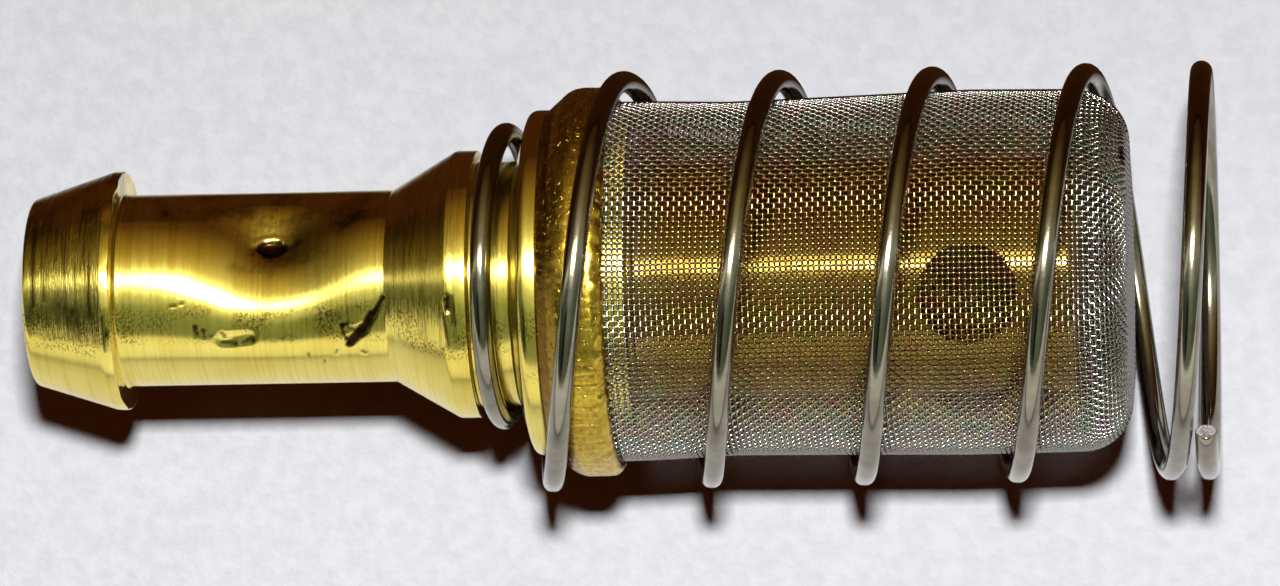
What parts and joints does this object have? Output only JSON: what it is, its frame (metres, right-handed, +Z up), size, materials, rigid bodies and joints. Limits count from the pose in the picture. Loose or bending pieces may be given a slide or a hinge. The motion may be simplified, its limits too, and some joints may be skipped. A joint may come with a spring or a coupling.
{
  "type": "fuel pickup filter",
  "caption": "Brass hose-barb fuel pickup with a wire-cloth strainer cup, an inner check ball and a loose wire guard spring round the cup.",
  "frame": {"origin": "on the fitting's axis, in the middle of the hose barb's crest", "axes": "+X along the axis from the hose end to the strainer, +Z up; the filter lies on its side on its guard spring"},
  "size_m": [0.0548, 0.0196, 0.0198],
  "materials": {
    "brass": "turned, bright, with stains and scratches",
    "ring_brass": "rough, with crimp marks",
    "steel_cloth": "woven stainless wire",
    "spring_steel": "drawn wire, semi-bright",
    "ball_steel": "polished ball"
  },
  "bodies": {
    "fitting": {"fitting_body": "brass", "crimp_ring": "ring_brass", "strainer_cup": "steel_cloth"},
    "ball": {"check_ball": "ball_steel"},
    "spring": {"guard_spring": "spring_steel"}
  },
  "joints": [
    {"name": "check_ball_lift", "type": "slide", "parent": "fitting", "child": "ball", "axis": [-1, 0, 0], "range_m": [0, 0.0014]},
    {"name": "spring_press", "type": "slide", "parent": "fitting", "child": "spring", "axis": [-1, 0, 0], "range_m": [0, 0.0038], "stiffness_N_per_m": 320, "deforming": ["guard_spring"]}
  ]
}
